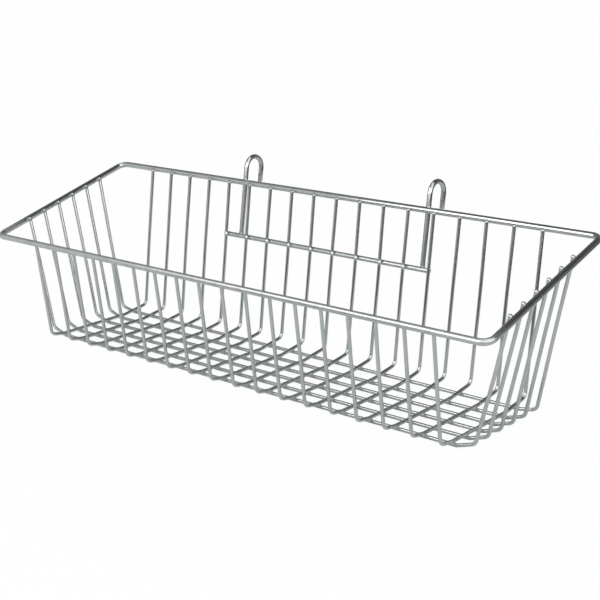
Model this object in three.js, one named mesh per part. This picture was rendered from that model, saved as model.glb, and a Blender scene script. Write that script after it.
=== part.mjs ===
// A welded wire display basket: a heavy rim loop that slopes down to the front, thin mesh wires bent
// to a U in both directions, a brace across the back wall, and two hooks that the basket hangs by.
// Millimetres, +Z up, +X along the basket, the low front towards -Y and the hooks towards +Y.
import * as THREE from 'three';

// Wire diameters, and the gap that is left between two wires where a weld joins them
const RIM_WIRE = 6;
const MESH_WIRE = 3.4;
const BRACE_WIRE = 5;
const HOOK_WIRE = 5;
const WELD_GAP = 0.3;

// Rim: outside sizes in plan, heights of its top above the surface that the basket stands on,
// the bend radius of its corners, and the gap between its two ends, in the middle of the back run
const RIM_LENGTH = 609.6;
const RIM_DEPTH = 187.8;
const BACK_HEIGHT = 165.6;
const FRONT_HEIGHT = 115;
const RIM_CORNER = 9;
const RIM_BUTT = 0.3;

// Walls: how far the rim's axis stands out past the corners of the floor
const SIDE_FLARE = 33.5;
const FRONT_FLARE = 18.5;
const BACK_FLARE = 25.1;

// Floor: how far its corners at the sides, the front and the back are raised above its flat middle,
// and how far a wire lies flat past its last weld there before it rises to a corner
const SIDE_LIFT = 5.6;
const FRONT_LIFT = 2.8;
const BACK_LIFT = 4.6;
const FLOOR_REST = 3;

// Cross wires run from front to back, long wires from side to side under them. A margin is the way
// from a floor corner to the nearest wire, a tip is what stands up past the weld to the rim. The basket
// stands on the flat long wires, and the last one lies on the rise to the back.
const CROSS_COUNT = 18;
const CROSS_MARGIN = 21.1;
const CROSS_TIP = 0.8;
const LONG_COUNT = 6;
const LONG_FLAT_COUNT = 5;
const LONG_FRONT_MARGIN = 20.8;
const LONG_BACK_MARGIN = 16.1;
const LONG_TIP = 2;
const MESH_BEND = 7;

// Brace: how far it is welded below the rim, how far it runs past the hooks, and its place off centre
const BRACE_DROP = 56.2;
const BRACE_OVERHANG = 15.3;
const BRACE_SHIFT = -2.8;

// Hooks: the way from one to the other, from leg to leg, from the rim's weld up to the top of the bend,
// down the free leg, and from the brace's weld down to the end of the welded leg
const HOOK_SPACING = 234.8;
const HOOK_SPAN = 23.6;
const HOOK_RISE = 27.2;
const HOOK_TAIL = 15.5;
const HOOK_FOOT = 2;

// Facets: sides of a thin and of a heavy wire's section, the turn of each step round a bend, and the
// steps round a hook's top. Their odd number puts a flat facet at the very top of the hook.
const MESH_SIDES = 8;
const HEAVY_SIDES = 12;
const BEND_STEP = Math.PI / 12;
const HOOK_STEPS = 9;

// Bright plating, the same on every wire
const PLATING = { color: 0xc4c9c4, roughness: 0.18, metalness: 1 };

// Axes of the rim and corners of the floor, seen from the side as (y, z). The zero point is under the
// front floor corner, level with the cross wires' axes, until the whole basket is set on its origin.
const floorAxisHeight = 1.5 * MESH_WIRE + WELD_GAP;
const floorDepth = RIM_DEPTH - RIM_WIRE - FRONT_FLARE - BACK_FLARE;
const frontCorner = new THREE.Vector2(0, FRONT_LIFT);
const backCorner = new THREE.Vector2(floorDepth, BACK_LIFT);
const frontRim = new THREE.Vector2(-FRONT_FLARE, FRONT_HEIGHT - RIM_WIRE / 2 - floorAxisHeight);
const backRim = new THREE.Vector2(floorDepth + BACK_FLARE, BACK_HEIGHT - RIM_WIRE / 2 - floorAxisHeight);
const rimRun = backRim.clone().sub(frontRim);
const rimHalfLength = (RIM_LENGTH - RIM_WIRE) / 2;
const floorHalfLength = rimHalfLength - SIDE_FLARE;

// Long wires' places across the floor, and the ends of the floor's flat part
const longPitch = (floorDepth - LONG_FRONT_MARGIN - LONG_BACK_MARGIN) / (LONG_COUNT - 1);
const longPlaces = Array.from({ length: LONG_COUNT }, (_, i) => LONG_FRONT_MARGIN + i * longPitch);
const frontRest = new THREE.Vector2(longPlaces[0] - FLOOR_REST, 0);
const backRest = new THREE.Vector2(longPlaces[LONG_FLAT_COUNT - 1] + FLOOR_REST, 0);

const ALONG_X = new THREE.Vector3(1, 0, 0);
const ALONG_Y = new THREE.Vector3(0, 1, 0);
const ALONG_Z = new THREE.Vector3(0, 0, 1);

// Axis distance of two wires that are welded side by side
function weldDistance(oneWire, otherWire) {
  return (oneWire + otherWire) / 2 + WELD_GAP;
}

// The point a distance ahead of another, at a heading in radians
function ahead(point, heading, distance) {
  return new THREE.Vector2(point.x + distance * Math.cos(heading), point.y + distance * Math.sin(heading));
}

// The point a distance to the right of another, for someone who looks along the heading
function toRight(point, heading, distance) {
  return ahead(point, heading - Math.PI / 2, distance);
}

// A wire's axis in its own plane is a list of stations, each a point and the heading there.
// Stations round a bend, to the left for a positive turn:
function bend(start, heading, turn, radius, steps) {
  const reach = -Math.sign(turn) * radius;
  const centre = toRight(start, heading, reach);
  return Array.from({ length: steps + 1 }, (_, step) => {
    const turned = heading + (turn * step) / steps;
    return { point: toRight(centre, turned, -reach), heading: turned };
  });
}

// Stations of a wire that runs through corners, with a round bend at each corner between its ends:
function throughCorners(corners, radius) {
  const headings = corners.slice(1).map((corner, i) => corner.clone().sub(corners[i]).angle());
  const stations = [{ point: corners[0], heading: headings[0] }];
  for (let i = 1; i < headings.length; i += 1) {
    const change = headings[i] - headings[i - 1];
    const turn = Math.atan2(Math.sin(change), Math.cos(change));
    const start = ahead(corners[i], headings[i - 1], -radius * Math.tan(Math.abs(turn) / 2));
    const steps = Math.max(2, Math.round(Math.abs(turn) / BEND_STEP));
    stations.push(...bend(start, headings[i - 1], turn, radius, steps));
  }
  stations.push({ point: corners.at(-1), heading: headings.at(-1) });
  return stations;
}

// The end of a leg that leaves a floor corner, touches the rim's wire on its inside and goes on for a tip.
// The rim is on the leg's right for side +1 and on its left for side -1.
function legEnd(corner, rim, side, tip) {
  const toRim = rim.clone().sub(corner);
  const distance = weldDistance(RIM_WIRE, MESH_WIRE);
  const heading = toRim.angle() + side * Math.asin(distance / toRim.length());
  return ahead(corner, heading, Math.sqrt(toRim.lengthSq() - distance ** 2) + tip);
}

// A wire's axis in space: its stations, set in the plane of two directions
class WireAxis extends THREE.Curve {
  constructor(stations, across, up) {
    super();
    this.stations = stations;
    this.across = across;
    this.up = up;
  }

  station(u) {
    return this.stations[Math.round(u * (this.stations.length - 1))];
  }

  inSpace(x, y, target) {
    return target.copy(this.across).multiplyScalar(x).addScaledVector(this.up, y);
  }

  getPointAt(u, target = new THREE.Vector3()) {
    const { point } = this.station(u);
    return this.inSpace(point.x, point.y, target);
  }

  getTangentAt(u, target = new THREE.Vector3()) {
    const { heading } = this.station(u);
    return this.inSpace(Math.cos(heading), Math.sin(heading), target);
  }
}

// Many-sided section with the area of the round wire, with flats to both sides, above and below
function wireSection(diameter, sides) {
  const slice = (2 * Math.PI) / sides;
  const cornerRadius = (diameter / 2) * Math.sqrt(slice / Math.sin(slice));
  const corners = Array.from({ length: sides }, (_, side) => (
    new THREE.Vector2(cornerRadius, 0).rotateAround(new THREE.Vector2(), (side + 0.5) * slice)
  ));
  return new THREE.Shape(corners);
}

function wireMesh(name, stations, across, up, diameter, sides) {
  const geometry = new THREE.ExtrudeGeometry(wireSection(diameter, sides), {
    steps: stations.length - 1,
    extrudePath: new WireAxis(stations, across, up),
  });
  const mesh = new THREE.Mesh(geometry, new THREE.MeshStandardMaterial(PLATING));
  mesh.name = name;
  return mesh;
}

// The rim is bent flat, from one end in the middle of the back run round to the other, then tilted.
function makeRim() {
  const run = rimRun.length();
  const corners = [
    new THREE.Vector2(RIM_BUTT / 2, run),
    new THREE.Vector2(rimHalfLength, run),
    new THREE.Vector2(rimHalfLength, 0),
    new THREE.Vector2(-rimHalfLength, 0),
    new THREE.Vector2(-rimHalfLength, run),
    new THREE.Vector2(-RIM_BUTT / 2, run),
  ];
  const stations = throughCorners(corners, RIM_CORNER);
  const rim = wireMesh('rim', stations, ALONG_X, ALONG_Y, RIM_WIRE, HEAVY_SIDES);
  rim.position.set(0, frontRim.x, frontRim.y);
  rim.rotation.x = rimRun.angle();
  return rim;
}

// Cross wires are all alike: front leg, floor with raised ends, back leg.
function makeCrossWires() {
  const corners = [
    legEnd(frontCorner, frontRim, -1, CROSS_TIP),
    frontCorner,
    frontRest,
    backRest,
    backCorner,
    legEnd(backCorner, backRim, 1, CROSS_TIP),
  ];
  const stations = throughCorners(corners, MESH_BEND);
  const first = -floorHalfLength + CROSS_MARGIN;
  const pitch = (-2 * first) / (CROSS_COUNT - 1);
  return Array.from({ length: CROSS_COUNT }, (_, i) => {
    const name = `cross_wire_${String(i + 1).padStart(2, '0')}`;
    const wire = wireMesh(name, stations, ALONG_Y, ALONG_Z, MESH_WIRE, MESH_SIDES);
    wire.position.x = first + i * pitch;
    return wire;
  });
}

// Long wires lie under the cross wires, and their legs grow with the rim from the front to the back.
function makeLongWires() {
  const below = weldDistance(MESH_WIRE, MESH_WIRE);
  const rise = backCorner.clone().sub(backRest).angle();
  const rightCorner = new THREE.Vector2(floorHalfLength, SIDE_LIFT - below);
  return longPlaces.map((y, i) => {
    const flat = y < backRest.x;
    const floor = flat ? -below : (y - backRest.x) * Math.tan(rise) - below / Math.cos(rise);
    const rightRest = new THREE.Vector2(floorHalfLength - CROSS_MARGIN + FLOOR_REST, floor);
    const rimHeight = frontRim.y + ((y - frontRim.x) * rimRun.y) / rimRun.x;
    const rightEnd = legEnd(rightCorner, new THREE.Vector2(rimHalfLength, rimHeight), 1, LONG_TIP);
    const right = [rightRest, rightCorner, rightEnd];
    const left = right.map((corner) => new THREE.Vector2(-corner.x, corner.y)).reverse();
    const stations = throughCorners([...left, ...right], MESH_BEND);
    const wire = wireMesh(`long_wire_${i + 1}`, stations, ALONG_X, ALONG_Z, MESH_WIRE, MESH_SIDES);
    wire.position.y = y;
    return wire;
  });
}

// The brace's axis, seen from the side: behind the back legs, below the rim
function braceAxis() {
  const heading = legEnd(backCorner, backRim, 1, 0).sub(backCorner).angle();
  const height = backRim.y - BRACE_DROP;
  const onLeg = ahead(backCorner, heading, (height - backCorner.y) / Math.sin(heading));
  return toRight(onLeg, heading, weldDistance(BRACE_WIRE, MESH_WIRE));
}

function makeBrace() {
  const half = HOOK_SPACING / 2 + BRACE_OVERHANG;
  const stations = throughCorners([new THREE.Vector2(-half, 0), new THREE.Vector2(half, 0)], 0);
  const brace = wireMesh('back_brace', stations, ALONG_X, ALONG_Z, BRACE_WIRE, HEAVY_SIDES);
  brace.position.set(BRACE_SHIFT, braceAxis().x, braceAxis().y);
  return brace;
}

// A hook's welded leg lies straight behind the brace and the rim, and its free leg hangs down behind.
function makeHooks() {
  const brace = braceAxis();
  const toRim = backRim.clone().sub(brace);
  const rimDistance = weldDistance(RIM_WIRE, HOOK_WIRE);
  const braceDistance = weldDistance(BRACE_WIRE, HOOK_WIRE);
  const heading = toRim.angle() - Math.asin((rimDistance - braceDistance) / toRim.length());
  const foot = ahead(toRight(brace, heading, braceDistance), heading, -HOOK_FOOT);
  const legTop = ahead(toRight(backRim, heading, rimDistance), heading, HOOK_RISE - HOOK_SPAN / 2);
  const top = bend(legTop, heading, -Math.PI, HOOK_SPAN / 2, HOOK_STEPS);
  const tail = ahead(top.at(-1).point, top.at(-1).heading, HOOK_TAIL);
  const stations = [{ point: foot, heading }, ...top, { point: tail, heading: top.at(-1).heading }];
  return [['hook_left', -1], ['hook_right', 1]].map(([name, side]) => {
    const hook = wireMesh(name, stations, ALONG_Y, ALONG_Z, HOOK_WIRE, HEAVY_SIDES);
    hook.position.x = (side * HOOK_SPACING) / 2;
    return hook;
  });
}

const basket = new THREE.Group();
basket.add(makeRim(), ...makeCrossWires(), ...makeLongWires(), makeBrace(), ...makeHooks());

// The origin is under the middle of the basket, on the surface that it stands on.
const extent = new THREE.Box3().setFromObject(basket, true);
basket.position.set(0, -(extent.min.y + extent.max.y) / 2, -extent.min.z);

export default basket;
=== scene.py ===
# %% [markdown]
# # A welded wire basket
# The real object is a display basket: a heavy wire rim that slopes down to the front, thin wires bent
# to a U in both directions, a brace across the back wall and two hooks to hang it by. Everything is
# round steel wire, spot-welded where it touches and then plated bright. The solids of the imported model
# have flat facets, so this script draws every wire again, round and smooth, on the same axis.

import math
import random
from collections import namedtuple

import bmesh
import bpy
from mathutils import Matrix, Vector


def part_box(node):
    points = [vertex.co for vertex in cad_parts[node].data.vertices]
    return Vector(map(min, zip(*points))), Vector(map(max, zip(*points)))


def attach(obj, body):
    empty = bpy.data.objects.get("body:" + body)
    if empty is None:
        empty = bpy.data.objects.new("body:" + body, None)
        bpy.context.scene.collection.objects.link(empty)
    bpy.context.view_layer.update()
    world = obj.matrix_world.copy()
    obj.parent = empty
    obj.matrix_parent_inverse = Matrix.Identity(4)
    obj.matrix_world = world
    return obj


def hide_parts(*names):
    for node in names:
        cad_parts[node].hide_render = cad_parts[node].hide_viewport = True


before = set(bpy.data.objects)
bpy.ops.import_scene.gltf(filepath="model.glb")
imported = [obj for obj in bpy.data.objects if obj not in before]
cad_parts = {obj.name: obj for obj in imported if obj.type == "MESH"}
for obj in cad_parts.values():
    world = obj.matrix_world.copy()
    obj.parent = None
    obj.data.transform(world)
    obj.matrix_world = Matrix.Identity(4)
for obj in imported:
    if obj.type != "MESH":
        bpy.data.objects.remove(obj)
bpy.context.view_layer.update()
scene = bpy.context.scene
scene.view_settings.view_transform = "Standard"

# %% [markdown]
# ## Sizes
# Blender works in metres here, and a wire is easier to think of in millimetres, so one factor turns
# the sizes round once. These are the sizes that the wires were drawn to: diameters, the gap that a weld
# fills, how far the rim stands out past the floor, and how far the floor's edges lift off its middle.
# Only where the basket stands comes from the frame: the middle of the rim's box is the middle of the
# loop, whatever the facets are.

# %% Wire sizes and the corners of the side view, as (y, z)
MM = 0.001
RIM_WIRE = 6 * MM
MESH_WIRE = 3.4 * MM
BRACE_WIRE = 5 * MM
HOOK_WIRE = 5 * MM
WELD_GAP = 0.3 * MM

RIM_LENGTH = 609.6 * MM
RIM_DEPTH = 187.8 * MM
RIM_DROP = 50.6 * MM
FRONT_HEIGHT = 115 * MM
SIDE_FLARE = 33.5 * MM
FRONT_FLARE = 18.5 * MM
BACK_FLARE = 25.1 * MM
FRONT_LIFT = 2.8 * MM
BACK_LIFT = 4.6 * MM
SIDE_LIFT = 5.6 * MM

rim_middle = sum(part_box("rim"), Vector((0, 0, 0))) / 2
half_depth = (RIM_DEPTH - RIM_WIRE) / 2
rim_front = Vector((rim_middle.y - half_depth, rim_middle.z - RIM_DROP / 2))
rim_back = Vector((rim_middle.y + half_depth, rim_middle.z + RIM_DROP / 2))
floor_height = rim_front.y + RIM_WIRE / 2 - FRONT_HEIGHT + 1.5 * MESH_WIRE + WELD_GAP
floor_front = Vector((rim_front.x + FRONT_FLARE, floor_height + FRONT_LIFT))
floor_back = Vector((rim_back.x - BACK_FLARE, floor_height + BACK_LIFT))
rim_half = (RIM_LENGTH - RIM_WIRE) / 2
floor_half = rim_half - SIDE_FLARE
print("rim from", rim_front, "to", rim_back, "floor wires at", round(floor_height, 5))

# %% [markdown]
# ## Camera
# The photograph was taken from the right of the front, a little above the rim, with a longish lens. Its
# place was worked out from the straight wires, because lines that are parallel on the basket meet in
# the picture only for one lens and one place. The camera is turned in three plain steps: round the
# upright axis, down, and a little about its own line of sight.

# %% Place the camera
CAMERA_PLACE = (0.795846, -0.927474, 0.422858)
CAMERA_AROUND = 39.763
CAMERA_DOWN = 16.128
CAMERA_ROLL = -0.608
CAMERA_LENS = 77.422
SENSOR_WIDTH = 36

camera = bpy.data.objects.new("photo_camera", bpy.data.cameras.new("photo_camera"))
scene.collection.objects.link(camera)
camera.data.sensor_width = SENSOR_WIDTH
camera.data.lens = CAMERA_LENS
camera.matrix_world = (
    Matrix.Translation(CAMERA_PLACE)
    @ Matrix.Rotation(math.radians(CAMERA_AROUND), 4, "Z")
    @ Matrix.Rotation(math.radians(90 - CAMERA_DOWN), 4, "X")
    @ Matrix.Rotation(math.radians(CAMERA_ROLL), 4, "Z")
)
scene.camera = camera
print("camera looks along", tuple(round(-v, 4) for v in camera.matrix_world.col[2][:3]))

# %% [markdown]
# ## Shader sums
# A finish is a small calculation: noise times a mask, one minus another mask. Placing Math nodes by
# hand hides that calculation, so one small class stands for an output socket and turns Python's own
# operators into Math nodes. Every other node comes from the same method: its type, its settings, then
# what goes into its sockets.

# %% A socket that can be added and multiplied
class Link:
    def __init__(self, tree, socket):
        self.tree = tree
        self.socket = socket

    @classmethod
    def node(cls, tree, kind, settings=None, inputs=None, output=0):
        made = tree.nodes.new(kind)
        for name, value in (settings or {}).items():
            setattr(made, name, value)
        for name, value in (inputs or {}).items():
            if isinstance(value, Link):
                tree.links.new(value.socket, made.inputs[name])
            else:
                made.inputs[name].default_value = value
        return cls(tree, made.outputs[output] if made.outputs else None)

    def math(self, operation, first, second):
        settings = {"operation": operation}
        return Link.node(self.tree, "ShaderNodeMath", settings, {0: first, 1: second})

    def __add__(self, other):
        return self.math("ADD", self, other)

    def __radd__(self, other):
        return self.math("ADD", other, self)

    def __sub__(self, other):
        return self.math("SUBTRACT", self, other)

    def __rsub__(self, other):
        return self.math("SUBTRACT", other, self)

    def __mul__(self, other):
        return self.math("MULTIPLY", self, other)

    def __rmul__(self, other):
        return self.math("MULTIPLY", other, self)

    def clamped(self, low, high):
        return self.math("MINIMUM", self.math("MAXIMUM", self, low), high)


print("a Link adds, subtracts and multiplies")

# %% Helpers that every finish needs
WHITE = (1, 1, 1, 1)
BLACK = (0, 0, 0, 1)


def grey(value):
    return (value, value, value, 1)


def new_material(name):
    material = bpy.data.materials.new(name)
    material.use_nodes = True
    material.node_tree.nodes.clear()
    return material, material.node_tree


def attribute(tree, name, output="Fac"):
    return Link.node(tree, "ShaderNodeAttribute", {"attribute_name": name}, {}, output)


def object_place(tree):
    return Link.node(tree, "ShaderNodeTexCoord", {}, {}, "Object")


def noise(tree, vector, scale, detail):
    sockets = {"Vector": vector, "Scale": scale, "Detail": detail}
    return Link.node(tree, "ShaderNodeTexNoise", {}, sockets, "Fac")


def mixed(tree, factor, first, second):
    settings = {"data_type": "RGBA"}
    return Link.node(tree, "ShaderNodeMix", settings, {0: factor, 6: first, 7: second}, 2)


def glowing(tree, colour):
    return Link.node(tree, "ShaderNodeEmission", {}, {"Color": colour, "Strength": 1.0})


def surface(tree, shader):
    Link.node(tree, "ShaderNodeOutputMaterial", {}, {"Surface": shader})


print("helpers for materials are ready")

# %% [markdown]
# ## Bright plating
# The wire was drawn through a die, welded, and then plated with a thin bright layer of metal. Up close
# it isn't a mirror: fine lines run along the wire, the layer has cloudy patches with a faint grey-green
# cast, and round a weld the heat left it duller. A picture of metal would do for one view only. Here
# each point of the wire carries four values of its own: the way along the wire, the nearness of a weld,
# the wire's own number, and how dull the plating is there. Noise and these four give the colour,
# the roughness and a shallow bump.

# %% The plating's colour
PLATING_LIGHT = (0.78, 0.805, 0.81, 1)
PLATING_DARK = (0.665, 0.70, 0.705, 1)
WELD_TINT = (0.61, 0.625, 0.615, 1)
DRAW_LINES = (70, 2600, 2600)
CLOUD_SCALE = 38
MOTTLE_SCALE = 520
CLOUD_SHARE = 1.5
MOTTLE_SHARE = 0.9
BATCH_SHARE = 0.3
TONE_START = 0.35
WELD_START = 0.1

plating, tree = new_material("bright_plating_finish")
grain = attribute(tree, "grain", "Vector")
weld = attribute(tree, "weld")
batch = attribute(tree, "batch")
dull = attribute(tree, "dull")
place = object_place(tree)
stretch = {"operation": "MULTIPLY"}
stretched = Link.node(tree, "ShaderNodeVectorMath", stretch, {0: grain, 1: DRAW_LINES})
drawn = noise(tree, stretched, 1, 2)
cloud = noise(tree, place, CLOUD_SCALE, 2)
mottle = noise(tree, place, MOTTLE_SCALE, 3)

patches = (cloud - 0.5) * CLOUD_SHARE + (mottle - 0.5) * MOTTLE_SHARE
tone = (patches + BATCH_SHARE * batch + TONE_START).clamped(0, 1)
colour = mixed(tree, tone, PLATING_DARK, PLATING_LIGHT)
colour = mixed(tree, (weld * (mottle + WELD_START)).clamped(0, 1), colour, WELD_TINT)
print("the colour takes", len(tree.nodes), "nodes")

# %% The plating's roughness and bump
POLISHED = 0.06
ROUGHER = 0.05
BATCH_ROUGHER = 0.03
DULL_ROUGHER = 0.26
DRAWN_HEIGHT = 0.4
MOTTLE_HEIGHT = 0.25
BUMP_STRENGTH = 0.15
BUMP_DEPTH = 0.06 * MM

rough = POLISHED + ROUGHER * cloud + ROUGHER * drawn + ROUGHER * weld * mottle
rough = rough + BATCH_ROUGHER * batch + DULL_ROUGHER * dull
bump = Link.node(tree, "ShaderNodeBump", {}, {
    "Strength": BUMP_STRENGTH,
    "Distance": BUMP_DEPTH,
    "Height": drawn * DRAWN_HEIGHT + mottle * MOTTLE_HEIGHT + weld * mottle,
})
surface(tree, Link.node(tree, "ShaderNodeBsdfPrincipled", {}, {
    "Base Color": colour,
    "Roughness": rough,
    "Metallic": 1.0,
    "Normal": bump,
}))
print("plating has", len(tree.nodes), "nodes")

# %% [markdown]
# ## The way of a wire
# A bent wire lies in one plane, so its axis is a list of straight runs and arcs. Curve objects could do
# this, but their handles would have to be fitted to each bend. Straight runs and arcs are what a wire
# bending machine makes, and a distance along the wire then gives an exact point and heading, which the
# weld marks need later.

# %% Straight runs and arcs
Run = namedtuple("Run", "start heading length curve")


def ahead(point, heading, distance):
    return point + distance * Vector((math.cos(heading), math.sin(heading)))


def heading_of(way):
    return math.atan2(way.y, way.x)


def right_of(point, heading, distance):
    return ahead(point, heading - math.pi / 2, distance)


def along(run, distance):
    if not run.curve:
        return ahead(run.start, run.heading, distance), run.heading
    turned = run.heading + run.curve * distance
    over = math.sin(turned) - math.sin(run.heading)
    rise = math.cos(run.heading) - math.cos(turned)
    return run.start + Vector((over, rise)) / run.curve, turned


def bent(corners, radius):
    runs = []
    start = corners[0]
    for i in range(1, len(corners)):
        heading = heading_of(corners[i] - corners[i - 1])
        if i + 1 == len(corners):
            runs.append(Run(start, heading, (corners[i] - start).length, 0))
            break
        change = heading_of(corners[i + 1] - corners[i]) - heading
        turn = math.atan2(math.sin(change), math.cos(change))
        bend_start = ahead(corners[i], heading, -radius * math.tan(abs(turn) / 2))
        runs.append(Run(start, heading, (bend_start - start).length, 0))
        runs.append(Run(bend_start, heading, radius * abs(turn), math.copysign(1 / radius, turn)))
        start = along(runs[-1], runs[-1].length)[0]
    return runs


MESH_BEND = 7 * MM
square_turn = bent([Vector((0, 0)), Vector((1, 0)), Vector((1, 1))], MESH_BEND)
print("a square turn of thin wire takes", round(square_turn[1].length / MM, 2), "mm")

# %% Distances along a wire
def wire_length(runs):
    return sum(run.length for run in runs)


def at(runs, distance):
    for run in runs[:-1]:
        if distance <= run.length:
            return along(run, distance)
        distance -= run.length
    return along(runs[-1], distance)


def beside(runs, point):
    nearest = None
    done = 0
    for run in runs:
        if not run.curve:
            way = Vector((math.cos(run.heading), math.sin(run.heading)))
            distance = min(max((point - run.start).dot(way), 0), run.length)
            gap = (ahead(run.start, run.heading, distance) - point).length
            nearest = min(nearest or (gap, done + distance), (gap, done + distance))
        done += run.length
    return nearest[1]


print("a point beside the first run is at", beside(square_turn, Vector((0.25, 0.1))), "m")

# %% [markdown]
# ## Round wire
# A wire is a circle pushed along its axis. A curve with a bevel would give the shape, but its points
# carry none of the values that the finish needs, so the mesh is built ring by ring. Rings stand closer
# together round a bend and at each weld. There the hot wire swelled a little under the electrodes, and
# where a thin wire was pressed on a heavier one it can keep a sharper knob that catches the light. The
# ends are rounded off, a sheared end only a little. A free leg is never quite straight, so it bows by a
# few tenths of a millimetre, while a floor run is held by its welds. That is what makes the
# reflections differ from wire to wire.

# %% Where the rings go
BEND_STEP = math.radians(7)
STRAIGHT_STEP = 16 * MM
RING_APART = 0.25 * MM
WELD_RINGS = [
    offset * MM
    for offset in (-5, -3, -1.8, -1.3, -0.9, -0.45, 0, 0.45, 0.9, 1.3, 1.8, 3, 5)
]


def ring_places(runs, welds, first, last):
    places = [first, last]
    done = 0
    for run in runs:
        if run.curve:
            steps = math.ceil(abs(run.curve) * run.length / BEND_STEP)
        else:
            steps = math.ceil(run.length / STRAIGHT_STEP)
        places += [done + run.length * step / steps for step in range(steps + 1)]
        done += run.length
    places += [weld + offset for weld in welds for offset in WELD_RINGS]
    kept = []
    for place in sorted(place for place in places if first <= place <= last):
        if not kept or place - kept[-1] > RING_APART:
            kept.append(place)
    return kept


print("rings round a bend every", round(math.degrees(BEND_STEP)), "degrees")

# %% How a wire swells and bows
WELD_REACH = 3.2 * MM
WELD_SWELL = 0.045
KNOB_REACH = 1.3 * MM
KNOB_SWELL = 0.22
LEG_SLOPE = 0.5
HELD_SHARE = 0.3
chance = random.Random(24)


def nearness(distance, welds, reach):
    return max((math.exp(-((distance - weld) / reach) ** 2) for weld in welds), default=0)


def swelling(place, diameter, welds, knobs):
    under_weld = WELD_SWELL * nearness(place, welds, WELD_REACH) * (MESH_WIRE / diameter) ** 2
    return under_weld + KNOB_SWELL * nearness(place, knobs, KNOB_REACH)


def bows_of(runs, bow):
    bows = []
    for run in runs:
        free = bow if abs(math.sin(run.heading)) > LEG_SLOPE else HELD_SHARE * bow
        bows.append((chance.uniform(-free, free), chance.uniform(-free, free)))
    return bows


def bowed(runs, bows, place, side, out):
    shift = Vector((0, 0, 0))
    done = 0
    for run, (sideways, outwards) in zip(runs, bows):
        inside = (place - done) / run.length
        if not run.curve and 0 < inside < 1:
            shift += math.sin(math.pi * inside) ** 2 * (sideways * side + outwards * out)
        done += run.length
    return shift


print("a thin wire at a knob is thicker by", round(100 * swelling(0, MESH_WIRE, [], [0])), "percent")

# %% From points to a finished piece
Layers = namedtuple("Layers", "grain weld batch dull")


def new_layers(bm):
    values = bm.verts.layers.float
    ways = bm.verts.layers.float_vector
    return Layers(ways.new("grain"), values.new("weld"), values.new("batch"), values.new("dull"))


def join_rings(bm, one, two):
    for k in range(len(one)):
        bm.faces.new((one[k], one[k - 1], two[k - 1], two[k]))


def finished_piece(name, bm, nodes):
    bmesh.ops.recalc_face_normals(bm, faces=bm.faces)
    for face in bm.faces:
        face.smooth = True
    mesh = bpy.data.meshes.new(name)
    bm.to_mesh(mesh)
    bm.free()
    mesh.materials.append(plating)
    piece = bpy.data.objects.new(name, mesh)
    scene.collection.objects.link(piece)
    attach(piece, "root")
    if nodes:
        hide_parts(*nodes)
    return piece


print("each point carries", ", ".join(Layers._fields))

# %% Draw one wire
ALONG_X = Vector((1, 0, 0))
ALONG_Y = Vector((0, 1, 0))
ALONG_Z = Vector((0, 0, 1))
Plane = namedtuple("Plane", "origin across up")
END_ANGLES = [math.radians(angle) for angle in (15, 32, 48, 63, 77)]
END_ROUND = 1.0


def draw_wire(
    name, node, runs, plane, diameter, sides, welds=(), knobs=(),
    loop=False, bow=0, dull=None, rounding=END_ROUND,
):
    radius = diameter / 2
    length = wire_length(runs)
    end = 0 if loop else rounding * radius
    rings = [(place, 1) for place in ring_places(runs, [*welds, *knobs], end, length - end)]
    if loop:
        rings.pop()
    else:
        dome = [(end * (1 - math.cos(angle)), math.sin(angle)) for angle in END_ANGLES]
        rings = dome + rings + [(length - place, share) for place, share in reversed(dome)]
    bows = bows_of(runs, bow)
    number = chance.random()
    out = plane.across.cross(plane.up)
    bm = bmesh.new()
    layers = new_layers(bm)

    def add(place, share, angle):
        point, heading = at(runs, place)
        side = math.sin(heading) * plane.across - math.cos(heading) * plane.up
        centre = plane.origin + point.x * plane.across + point.y * plane.up
        centre += bowed(runs, bows, place, side, out)
        reach = share * radius * (1 + swelling(place, diameter, welds, knobs))
        offset = Vector((reach * math.cos(angle), reach * math.sin(angle)))
        vert = bm.verts.new(centre + offset.x * side + offset.y * out)
        vert[layers.grain] = (place, offset.x, offset.y)
        vert[layers.weld] = nearness(place, welds, WELD_REACH)
        vert[layers.batch] = number
        vert[layers.dull] = dull(centre) if dull else 0
        return vert

    angles = [2 * math.pi * k / sides for k in range(sides)]
    circles = [[add(place, share, angle) for angle in angles] for place, share in rings]
    for one, two in zip(circles, circles[1:]):
        join_rings(bm, one, two)
    if loop:
        join_rings(bm, circles[-1], circles[0])
    else:
        for circle, tip in ((circles[0], add(0, 0, 0)), (circles[-1], add(length, 0, 0))):
            for k in range(sides):
                bm.faces.new((circle[k], circle[k - 1], tip))
    return finished_piece(name, bm, [node])


print("an end is rounded in", len(END_ANGLES), "rings and a tip")

# %% [markdown]
# ## Where the wires touch
# Before any wire is drawn, the touching points are worked out, because both wires of a weld change
# there. A leg of thin wire leaves its floor corner and just touches the inside of the rim, so its slope
# comes from a right triangle: the rim's axis, the corner, and the distance of the two axes. The floor
# is flat under the first five long wires and rises to the last one.

# %% Touching points
CROSS_COUNT = 18
CROSS_MARGIN = 21.1 * MM
LONG_COUNT = 6
LONG_FLAT_COUNT = 5
LONG_FRONT_MARGIN = 20.8 * MM
LONG_BACK_MARGIN = 16.1 * MM
FLOOR_REST = 3 * MM


def weld_distance(one_wire, other_wire):
    return (one_wire + other_wire) / 2 + WELD_GAP


def leg_end(corner, rim, side, tip):
    way = rim - corner
    distance = weld_distance(RIM_WIRE, MESH_WIRE)
    heading = heading_of(way) + side * math.asin(distance / way.length)
    return ahead(corner, heading, math.sqrt(way.length_squared - distance ** 2) + tip)


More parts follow.
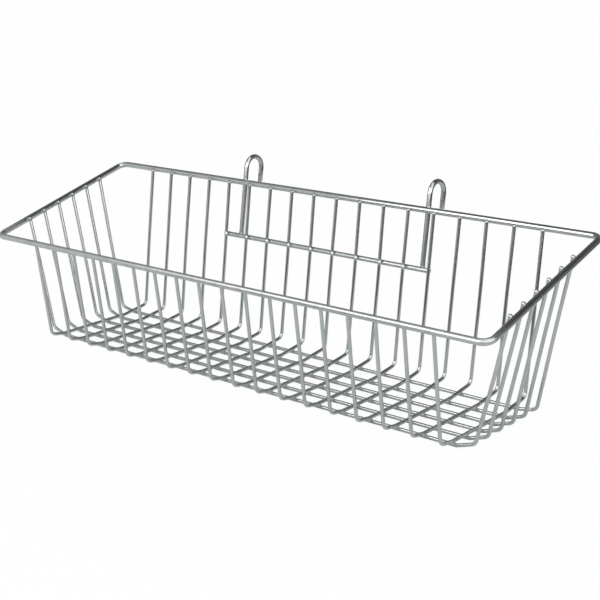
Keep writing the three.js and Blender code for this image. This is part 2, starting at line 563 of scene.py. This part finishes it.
cross_first = -floor_half + CROSS_MARGIN
cross_xs = [cross_first - 2 * cross_first * i / (CROSS_COUNT - 1) for i in range(CROSS_COUNT)]
long_step = (floor_back.x - floor_front.x - LONG_FRONT_MARGIN - LONG_BACK_MARGIN) / (LONG_COUNT - 1)
long_ys = [floor_front.x + LONG_FRONT_MARGIN + i * long_step for i in range(LONG_COUNT)]
below = weld_distance(MESH_WIRE, MESH_WIRE)
front_rest = Vector((long_ys[0] - FLOOR_REST, floor_height))
back_rest = Vector((long_ys[LONG_FLAT_COUNT - 1] + FLOOR_REST, floor_height))
rise = heading_of(floor_back - back_rest)
crossing_heights = [floor_height + max(0, y - back_rest.x) * math.tan(rise) for y in long_ys]
long_heights = [
    height - (below if height == floor_height else below / math.cos(rise))
    for height in crossing_heights
]
rim_slope = (rim_back.y - rim_front.y) / (rim_back.x - rim_front.x)
long_rims = [Vector((rim_half, rim_front.y + (y - rim_front.x) * rim_slope)) for y in long_ys]
long_corner = Vector((floor_half, floor_height - below + SIDE_LIFT))
long_touches = [leg_end(long_corner, rim, 1, 0) for rim in long_rims]
front_touch = leg_end(floor_front, rim_front, -1, 0)
back_touch = leg_end(floor_back, rim_back, 1, 0)
print("cross wires every", round((cross_xs[1] - cross_xs[0]) / MM, 2), "mm")
print("long wires every", round(long_step / MM, 2), "mm")

# %% [markdown]
# ## Brace and hooks, seen from the side
# The brace is a straight wire behind the back legs, and each hook is a wire bent to an upside-down U.
# The hook's long leg lies behind both the brace and the rim, so its slope follows from those two. Their
# axes are needed here, before the drawing, for the same reason: they touch other wires.

# %% Axes of the brace and the hooks
BRACE_DROP = 56.2 * MM
BRACE_OVERHANG = 15.3 * MM
BRACE_SHIFT = -2.8 * MM
HOOK_SPACING = 234.8 * MM

back_heading = heading_of(back_touch - floor_back)
brace_climb = (rim_back.y - BRACE_DROP - floor_back.y) / math.sin(back_heading)
brace_touch = ahead(floor_back, back_heading, brace_climb)
brace_axis = right_of(brace_touch, back_heading, weld_distance(BRACE_WIRE, MESH_WIRE))
brace_ends = [BRACE_SHIFT + side * (HOOK_SPACING / 2 + BRACE_OVERHANG) for side in (-1, 1)]
brace_xs = [x for x in cross_xs if brace_ends[0] < x < brace_ends[1]]
hook_xs = [-HOOK_SPACING / 2, HOOK_SPACING / 2]

hook_way = rim_back - brace_axis
hook_by_rim = weld_distance(RIM_WIRE, HOOK_WIRE)
hook_by_brace = weld_distance(BRACE_WIRE, HOOK_WIRE)
hook_heading = heading_of(hook_way) - math.asin((hook_by_rim - hook_by_brace) / hook_way.length)
hook_low = right_of(brace_axis, hook_heading, hook_by_brace)
hook_high = right_of(rim_back, hook_heading, hook_by_rim)
print("brace meets", len(brace_xs), "cross wires")
print("a hook leans", round(90 - math.degrees(hook_heading), 2), "degrees")

# %% [markdown]
# ## Rim
# The rim is one length of 6 mm wire, bent flat to a rectangle with round corners, then closed with a
# butt weld in the middle of the back. It is drawn in its own flat plane, which is tilted up to the
# back, as a closed loop: the weld shows only as a slight bead where the two ends were pushed together.
# Hands and goods rub the front run most, so it is duller, and the dullness fades to the back.

# %% Draw the rim
RIM_CORNER = 9 * MM
HEAVY_SIDES = 24
WEAR_REACH = 45 * MM


def worn_at_front(point):
    return max(0, 1 - (point.y - rim_front.x) / WEAR_REACH)


rim_run = (rim_back - rim_front).length
rim_tilt = (rim_back - rim_front).normalized()
rim_plane = Plane(Vector((0, *rim_front)), ALONG_X, Vector((0, *rim_tilt)))
rim_runs = bent([
    Vector((0, rim_run)),
    Vector((rim_half, rim_run)),
    Vector((rim_half, 0)),
    Vector((-rim_half, 0)),
    Vector((-rim_half, rim_run)),
    Vector((0, rim_run)),
], RIM_CORNER)
rim_marks = [Vector((x, run)) for x in cross_xs for run in (0, rim_run)]
rim_marks += [
    Vector((side * rim_half, (y - rim_front.x) / rim_tilt.x))
    for y in long_ys for side in (-1, 1)
]
rim_marks += [Vector((x, rim_run)) for x in hook_xs]
rim_welds = [beside(rim_runs, mark) for mark in rim_marks] + [0, wire_length(rim_runs)]
rim_piece = draw_wire(
    "round_rim", "rim", rim_runs, rim_plane, RIM_WIRE, HEAVY_SIDES, rim_welds,
    loop=True, dull=worn_at_front,
)
print("rim has", len(rim_piece.data.vertices), "points")

# %% [markdown]
# ## Cross wires
# Eighteen wires run from the front rim down the front, along the floor and up the back. They are all
# bent alike, so one axis serves them all, and each is drawn by itself with its own slight bow, because
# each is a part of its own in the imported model. Their ends stop just short of the touching point, so
# that none shows over the rim, and those that meet the brace keep a knob there.

# %% Draw the cross wires
MESH_SIDES = 16
LEG_BOW = 0.45 * MM
CROSS_TIP = -0.1 * MM

cross_runs = bent([
    leg_end(floor_front, rim_front, -1, CROSS_TIP),
    floor_front,
    front_rest,
    back_rest,
    floor_back,
    leg_end(floor_back, rim_back, 1, CROSS_TIP),
], MESH_BEND)
cross_welds = [beside(cross_runs, Vector(place)) for place in zip(long_ys, crossing_heights)]
cross_welds += [beside(cross_runs, touch) for touch in (front_touch, back_touch)]
brace_mark = beside(cross_runs, brace_touch)
for i, x in enumerate(cross_xs):
    name = f"cross_wire_{i + 1:02d}"
    plane = Plane(Vector((x, 0, 0)), ALONG_Y, ALONG_Z)
    draw_wire(
        "round_" + name, name, cross_runs, plane, MESH_WIRE, MESH_SIDES, cross_welds,
        knobs=[brace_mark] if x in brace_xs else [], bow=LEG_BOW,
    )
print("cross wires are", round(wire_length(cross_runs), 4), "m long")

# %% [markdown]
# ## Long wires
# Six wires run from the left rim, down, along under the cross wires and up to the right rim. The rim
# rises to the back, so each of them has longer legs than the one before it. Their floor runs and left
# legs have a satin look, while the bends and the tips are bright, so the dullness of each point
# comes from how far out it lies. Where they are pressed on the rim they keep a knob.

# %% Draw the long wires
LEFT_DULL = 0.6
FLOOR_DULL = 0.35
DULL_OVER = 10 * MM
BEND_REACH = 15 * MM
TIP_OVER = 2 * MM
LONG_TIP = 2 * MM
tip_start = rim_half - weld_distance(RIM_WIRE, MESH_WIRE)


def satin_long_wire(point):
    if abs(point.x) < floor_half - BEND_REACH:
        return FLOOR_DULL
    from_bend = (-point.x - floor_half) / DULL_OVER
    to_tip = (tip_start + point.x) / TIP_OVER
    return LEFT_DULL * max(0, min(1, from_bend, to_tip))


for i, (y, low, touch) in enumerate(zip(long_ys, long_heights, long_touches)):
    right = [
        Vector((cross_xs[-1] + FLOOR_REST, low)),
        long_corner,
        leg_end(long_corner, long_rims[i], 1, LONG_TIP),
    ]
    left = [Vector((-corner.x, corner.y)) for corner in reversed(right)]
    runs = bent(left + right, MESH_BEND)
    name = f"long_wire_{i + 1}"
    plane = Plane(Vector((0, y, 0)), ALONG_X, ALONG_Z)
    draw_wire(
        "round_" + name, name, runs, plane, MESH_WIRE, MESH_SIDES,
        welds=[beside(runs, Vector((x, low))) for x in cross_xs],
        knobs=[beside(runs, Vector((side * touch.x, touch.y))) for side in (-1, 1)],
        bow=LEG_BOW, dull=satin_long_wire,
    )
print("the last long wire is", round(wire_length(runs), 4), "m long")

# %% [markdown]
# ## Brace and hooks
# The brace is the plainest wire of all: straight, cut off at both ends, and duller than the rest. The
# hooks are bent with a half circle at the top, and their free leg ends about at the rim's height. Both
# have sheared ends, so the rounding there is shallow.

# %% Draw the brace
CUT_ROUND = 0.35
BRACE_DULL = 0.7

brace_runs = bent([Vector((brace_end, 0)) for brace_end in brace_ends], 0)
brace_plane = Plane(Vector((0, *brace_axis)), ALONG_X, ALONG_Z)
brace_welds = [beside(brace_runs, Vector((x, 0))) for x in brace_xs + hook_xs]
draw_wire(
    "round_back_brace", "back_brace", brace_runs, brace_plane, BRACE_WIRE, HEAVY_SIDES, brace_welds,
    dull=lambda point: BRACE_DULL, rounding=CUT_ROUND,
)
print("the brace is", round(wire_length(brace_runs), 4), "m long")

# %% Draw the hooks
HOOK_SPAN = 23.6 * MM
HOOK_RISE = 27.2 * MM
HOOK_TAIL = 15.5 * MM
HOOK_FOOT = 2 * MM

hook_foot = ahead(hook_low, hook_heading, -HOOK_FOOT)
hook_leg = ahead(hook_high, hook_heading, HOOK_RISE - HOOK_SPAN / 2)
hook_bend = Run(hook_leg, hook_heading, math.pi * HOOK_SPAN / 2, -2 / HOOK_SPAN)
hook_tail_start, hook_tail_heading = along(hook_bend, hook_bend.length)
hook_runs = [
    Run(hook_foot, hook_heading, (hook_leg - hook_foot).length, 0),
    hook_bend,
    Run(hook_tail_start, hook_tail_heading, HOOK_TAIL, 0),
]
hook_welds = [beside(hook_runs, touch) for touch in (hook_low, hook_high)]
for name, x in zip(("hook_left", "hook_right"), hook_xs):
    plane = Plane(Vector((x, 0, 0)), ALONG_Y, ALONG_Z)
    draw_wire(
        "round_" + name, name, hook_runs, plane, HOOK_WIRE, HEAVY_SIDES, hook_welds,
        rounding=CUT_ROUND,
    )
print("a hook is", round(wire_length(hook_runs), 4), "m of wire")

# %% [markdown]
# ## Welds
# Two crossing wires were pressed together and a current melted them into each other. What shows is a
# small collar of metal between them. A sphere would bulge out at the sides, so each weld is a spool,
# turned about the line that joins the two axes: narrow in the middle, and as wide as each wire
# where it goes in. It is a little longer along one of the wires, and no two are the same size. At the
# front and back rim the collars sit below the touching point, so that they don't show over the rim.

# %% Draw one weld
WELD_SIDES = 12
WELD_DEPTHS = [depth * MM for depth in (1.15, 0.75, 0.42, 0.2, 0.06)]
WELD_PROUD = 0.07 * MM
WELD_NECK = 0.62
WELD_SIZES = (0.9, 1.15)
WELD_SLIP = 0.12 * MM
WELD_STRETCHES = (1.05, 1.3)


def weld_spool(bm, layers, one, two, one_radius, two_radius, stretch_along):
    axis = (two - one).normalized()
    half_gap = ((two - one).length - one_radius - two_radius) / 2
    across = (stretch_along - stretch_along.dot(axis) * axis).normalized()
    aside = axis.cross(across)
    size = chance.uniform(*WELD_SIZES)
    slip = across * chance.uniform(-WELD_SLIP, WELD_SLIP) + aside * chance.uniform(-WELD_SLIP, WELD_SLIP)
    middle = one + axis * (one_radius + half_gap) + slip
    neck = WELD_NECK * min(one_radius, two_radius) * size
    stretch = chance.uniform(*WELD_STRETCHES)
    number = chance.random()

    def width(radius, depth):
        return max(neck, math.sqrt(2 * radius * depth - depth ** 2) + WELD_PROUD * size)

    def add(height, reach, angle):
        wide = stretch * reach * math.cos(angle) * across + reach * math.sin(angle) * aside
        vert = bm.verts.new(middle + height * axis + wide)
        vert[layers.grain] = (height, wide.dot(across), wide.dot(aside))
        vert[layers.weld] = 1
        vert[layers.batch] = number
        return vert

    rings = [(-half_gap - depth, width(one_radius, depth)) for depth in WELD_DEPTHS]
    rings.append((0, neck))
    rings += [(half_gap + depth, width(two_radius, depth)) for depth in reversed(WELD_DEPTHS)]
    angles = [2 * math.pi * k / WELD_SIDES for k in range(WELD_SIDES)]
    circles = [[add(height, reach, angle) for angle in angles] for height, reach in rings]
    for low, high in zip(circles, circles[1:]):
        join_rings(bm, low, high)
    bm.faces.new(circles[0])
    bm.faces.new(circles[-1])


def draw_welds(name, places):
    bm = bmesh.new()
    layers = new_layers(bm)
    for place in places:
        weld_spool(bm, layers, *place)
    print(name, "has", len(places), "welds")
    return finished_piece(name, bm, [])


print("a weld goes", round(max(WELD_DEPTHS) / MM, 2), "mm into each wire")

# %% Draw all welds
END_WELD_DROP = 1.2 * MM
mesh_r = MESH_WIRE / 2
rim_r = RIM_WIRE / 2
brace_r = BRACE_WIRE / 2
hook_r = HOOK_WIRE / 2

draw_welds("floor_welds", [
    (Vector((x, y, high)), Vector((x, y, low)), mesh_r, mesh_r, ALONG_Y)
    for x in cross_xs for y, high, low in zip(long_ys, crossing_heights, long_heights)
])
front_weld = ahead(front_touch, heading_of(floor_front - front_touch), END_WELD_DROP)
back_weld = ahead(back_touch, heading_of(floor_back - back_touch), END_WELD_DROP)
draw_welds("front_and_back_rim_welds", [
    (Vector((x, *touch)), Vector((x, *rim)), mesh_r, rim_r, ALONG_X)
    for x in cross_xs for touch, rim in ((front_weld, rim_front), (back_weld, rim_back))
])
draw_welds("side_rim_welds", [
    (Vector((side * touch.x, y, touch.y)), Vector((side * rim.x, y, rim.y)), mesh_r, rim_r, ALONG_Y)
    for y, touch, rim in zip(long_ys, long_touches, long_rims) for side in (-1, 1)
])
draw_welds("brace_welds", [
    (Vector((x, *brace_touch)), Vector((x, *brace_axis)), mesh_r, brace_r, ALONG_X) for x in brace_xs
])
draw_welds("hook_welds", [
    (Vector((x, *axis)), Vector((x, *touch)), radius, hook_r, ALONG_X)
    for x in hook_xs
    for axis, touch, radius in ((brace_axis, hook_low, brace_r), (rim_back, hook_high, rim_r))
])

# %% [markdown]
# ## Floor
# The picture has a white ground. The floor is a plain pale sheet just under the lowest wires, and the
# lamps light it like anything else. For the camera, and for anything that mirrors or lets light
# through, it is lifted most of the way to white. A small share of its real light stays in, so the
# basket's soft shadow stays too.

# %% A pale floor
FLOOR_REACH = 14
FLOOR_DROP = 0.3 * MM
FLOOR_LIFT = 0.95
PAPER_SCALE = 60
PAPER_DARK = grey(0.86)
PAPER_LIGHT = grey(0.92)


def seen_directly(tree):
    rays = [
        Link.node(tree, "ShaderNodeLightPath", {}, {}, ray)
        for ray in ("Is Camera Ray", "Is Glossy Ray", "Is Transmission Ray")
    ]
    return (rays[0] + rays[1] + rays[2]).clamped(0, 1)


def flat_square(reach):
    return [(x * reach, y * reach, 0) for x, y in ((-1, -1), (1, -1), (1, 1), (-1, 1))]


floor_material, tree = new_material("pale_floor")
paper = noise(tree, object_place(tree), PAPER_SCALE, 3)
paper_colour = mixed(tree, paper, PAPER_DARK, PAPER_LIGHT)
lit = Link.node(tree, "ShaderNodeBsdfDiffuse", {}, {"Color": paper_colour})
white_share = seen_directly(tree) * FLOOR_LIFT
shaders = {0: white_share, 1: lit, 2: glowing(tree, WHITE)}
surface(tree, Link.node(tree, "ShaderNodeMixShader", {}, shaders))

floor_mesh = bpy.data.meshes.new("pale_floor")
floor_mesh.from_pydata(flat_square(FLOOR_REACH), [], [(0, 1, 2, 3)])
floor_mesh.materials.append(floor_material)
floor = bpy.data.objects.new("pale_floor", floor_mesh)
floor.location.z = -FLOOR_DROP
scene.collection.objects.link(floor)
print("floor reaches", FLOOR_REACH, "m")

# %% [markdown]
# ## Lamps
# Bright metal shows little of its own colour. It shows what stands round it, so the light is planned as
# a photographer would: a large soft box in front on the left, well above the basket, and a wide low
# one further off on the right. Their brightness is set as radiance, because that is what a reflection
# shows, and the power follows from the size.

# %% Soft boxes
AIM = Vector((0, 0, 0.08))


def direction(around, up):
    around = math.radians(around)
    up = math.radians(up)
    return Vector((math.sin(around) * math.cos(up), -math.cos(around) * math.cos(up), math.sin(up)))


def soft_box(name, around, up, away, width, tall, radiance):
    data = bpy.data.lights.new(name, "AREA")
    data.shape = "RECTANGLE"
    data.size = width
    data.size_y = tall
    data.energy = radiance * math.pi * width * tall
    lamp = bpy.data.objects.new(name, data)
    lamp.location = AIM + away * direction(around, up)
    lamp.rotation_euler = direction(around, up).to_track_quat("Z", "Y").to_euler()
    lamp.visible_camera = False
    scene.collection.objects.link(lamp)
    print(name, "at", tuple(round(v, 2) for v in lamp.location), "power", round(data.energy, 1))


soft_box("front_left_soft_box", around=-34, up=30.5, away=1.65, width=1.7, tall=1.3, radiance=1.5)
soft_box("right_soft_box", around=61, up=15.5, away=2.4, width=3.4, tall=0.8, radiance=0.85)

# %% [markdown]
# ## Cards
# If all round it were white, bright wire on a white ground would all but vanish. So dark and grey cards
# stand outside the picture, as patches of a ball round the basket, each shaded evenly from its first
# side to its last. Two patches stand a little nearer than the rest, for the dark lines in the bends.
# Only reflections see the cards, so they neither hide the white ground nor shade the floor.

# %% How a card is made
def show_card(name, points, faces, material):
    mesh = bpy.data.meshes.new(name)
    mesh.from_pydata(points, [], faces)
    mesh.materials.append(material)
    made = bpy.data.objects.new(name, mesh)
    made.visible_camera = False
    made.visible_diffuse = False
    made.visible_transmission = False
    made.visible_shadow = False
    scene.collection.objects.link(made)
    return made


def shaded_card(name, rows, shades):
    material, tree = new_material(name)
    surface(tree, glowing(tree, mixed(tree, attribute(tree, "shade"), BLACK, WHITE)))
    wide = len(rows[0])
    faces = [
        (j * wide + i, j * wide + i + 1, (j + 1) * wide + i + 1, (j + 1) * wide + i)
        for j in range(len(rows) - 1) for i in range(wide - 1)
    ]
    made = show_card(name, [point for row in rows for point in row], faces, material)
    made.data.attributes.new("shade", "FLOAT", "POINT").data.foreach_set("value", shades)


print("a card has one shade for each point")

# %% Cards on a ball, as name, degrees around, degrees up, greys and distance
CARD_STEP = 6
FAR = 3.5
NEARER = 3.3
CARDS = [
    ("low_left", (-180, 25), (-3, 2), (0.06, 0.06), FAR),
    ("low_right", (25, 105), (-3, 2), (0.1, 0.35), FAR),
    ("low_back", (105, 180), (-3, 2), (0.06, 0.06), FAR),
    ("grey_left", (-130, -62), (2, 53), (0.2, 0.25), FAR),
    ("under_left", (-62, -5), (2, 9), (0.4, 0.4), FAR),
    ("above_left", (-130, 0), (53, 70), (0.12, 0.14), FAR),
    ("front_gap", (-5, 22), (2, 31), (0.45, 0.45), FAR),
    ("under_right", (22, 105), (2, 6), (0.13, 0.15), FAR),
    ("grey_right", (105, 135), (2, 48), (0.16, 0.22), FAR),
    ("bend_dark", (97, 124), (40, 56), (0.02, 0.03), NEARER),
    ("rise_dark", (124, 146), (24, 56), (0.045, 0.06), NEARER),
    ("right_edge", (135, 139), (2, 48), (0.22, 0.09), FAR),
    ("high_right", (105, 139), (48, 70), (0.08, 0.08), FAR),
    ("low_dark_back", (139, 230), (2, 44), (0.16, 0.16), FAR),
    ("dark_back", (139, 230), (44, 80), (0.08, 0.08), FAR),
]


def evenly(ends, steps):
    return [ends[0] + (ends[1] - ends[0]) * i / steps for i in range(steps + 1)]


for name, around, up, greys, away in CARDS:
    columns = math.ceil((around[1] - around[0]) / CARD_STEP)
    ups = evenly(up, math.ceil((up[1] - up[0]) / CARD_STEP))
    turns = evenly(around, columns)
    rows = [[AIM + away * direction(turn, height) for turn in turns] for height in ups]
    shaded_card(name, rows, evenly(greys, columns) * len(ups))
print(len(CARDS), "cards stand about", FAR, "m away")

# %% [markdown]
# ## Panel and sill
# A far card looks the same from every wire. What stands close shifts from one wire to the next, and the
# wires on the left and in the middle of the front show such a shift. So a grey panel stands close in
# front on the left, and beside it a low sill, dark at its foot and paler above. They are
# shaded from row to row, and again only reflections see them.

# %% Close cards, in rows of height and grey
CLOSE_LINE = -0.33
CLOSE_CARDS = [
    ("near_panel", (-1.25, -0.275), [(0, 0.55), (0.4, 0.55), (0.95, 0.3), (1.5, 0.25)]),
    ("near_sill", (-0.275, 0.1), [(0, 0.06), (0.075, 0.08), (0.1, 0.42), (0.21, 0.42)]),
]
for name, sides, rows in CLOSE_CARDS:
    points = [[(x, CLOSE_LINE, height) for x in sides] for height, _ in rows]
    shaded_card(name, points, [shade for _, shade in rows for _ in sides])
    print(name, "is", rows[-1][0], "m high")

# %% [markdown]
# ## Grey ground
# In the photograph the wires mirror a grey ground and not the white one that the picture shows. So a
# second sheet lies just over the floor. It is lit by the lamps and is greenish grey near the basket.
# Further off its colour turns dark, a painted shade for the light that falls off with distance, and only
# reflections see it.

# %% A ground for reflections
GROUND_REACH = 4
GROUND_NEAR = (0.527, 0.549, 0.533, 1)
GROUND_FAR = grey(0.07)
FADE_START = 0.5
FADE_RATE = 2.2

ground_material, tree = new_material("grey_ground")
spread = {0: object_place(tree)}
from_middle = Link.node(tree, "ShaderNodeVectorMath", {"operation": "LENGTH"}, spread, "Value")
# Painted shade: the colour darkens with distance, standing in for light that falls off far from the
# lamps.
painted_falloff_shade = ((from_middle - FADE_START) * FADE_RATE).clamped(0, 1)
ground_colour = mixed(tree, painted_falloff_shade, GROUND_NEAR, GROUND_FAR)
surface(tree, Link.node(tree, "ShaderNodeBsdfDiffuse", {}, {"Color": ground_colour}))
show_card("grey_ground", flat_square(GROUND_REACH), [(0, 1, 2, 3)], ground_material)
print("grey ground is dark from", round(FADE_START + 1 / FADE_RATE, 2), "m on")

# %% [markdown]
# ## World
# The world fills the shadows with an even grey light and shows white where the camera or a
# reflection looks straight into it.

# %% White all round
WORLD_FILL = 0.8
world = bpy.data.worlds.new("studio")
scene.world = world
world.use_nodes = True
tree = world.node_tree
tree.nodes.clear()
sky = mixed(tree, seen_directly(tree), grey(WORLD_FILL), WHITE)
shine = Link.node(tree, "ShaderNodeBackground", {}, {"Color": sky, "Strength": 1.0})
Link.node(tree, "ShaderNodeOutputWorld", {}, {"Surface": shine})
print("world fill", WORLD_FILL)
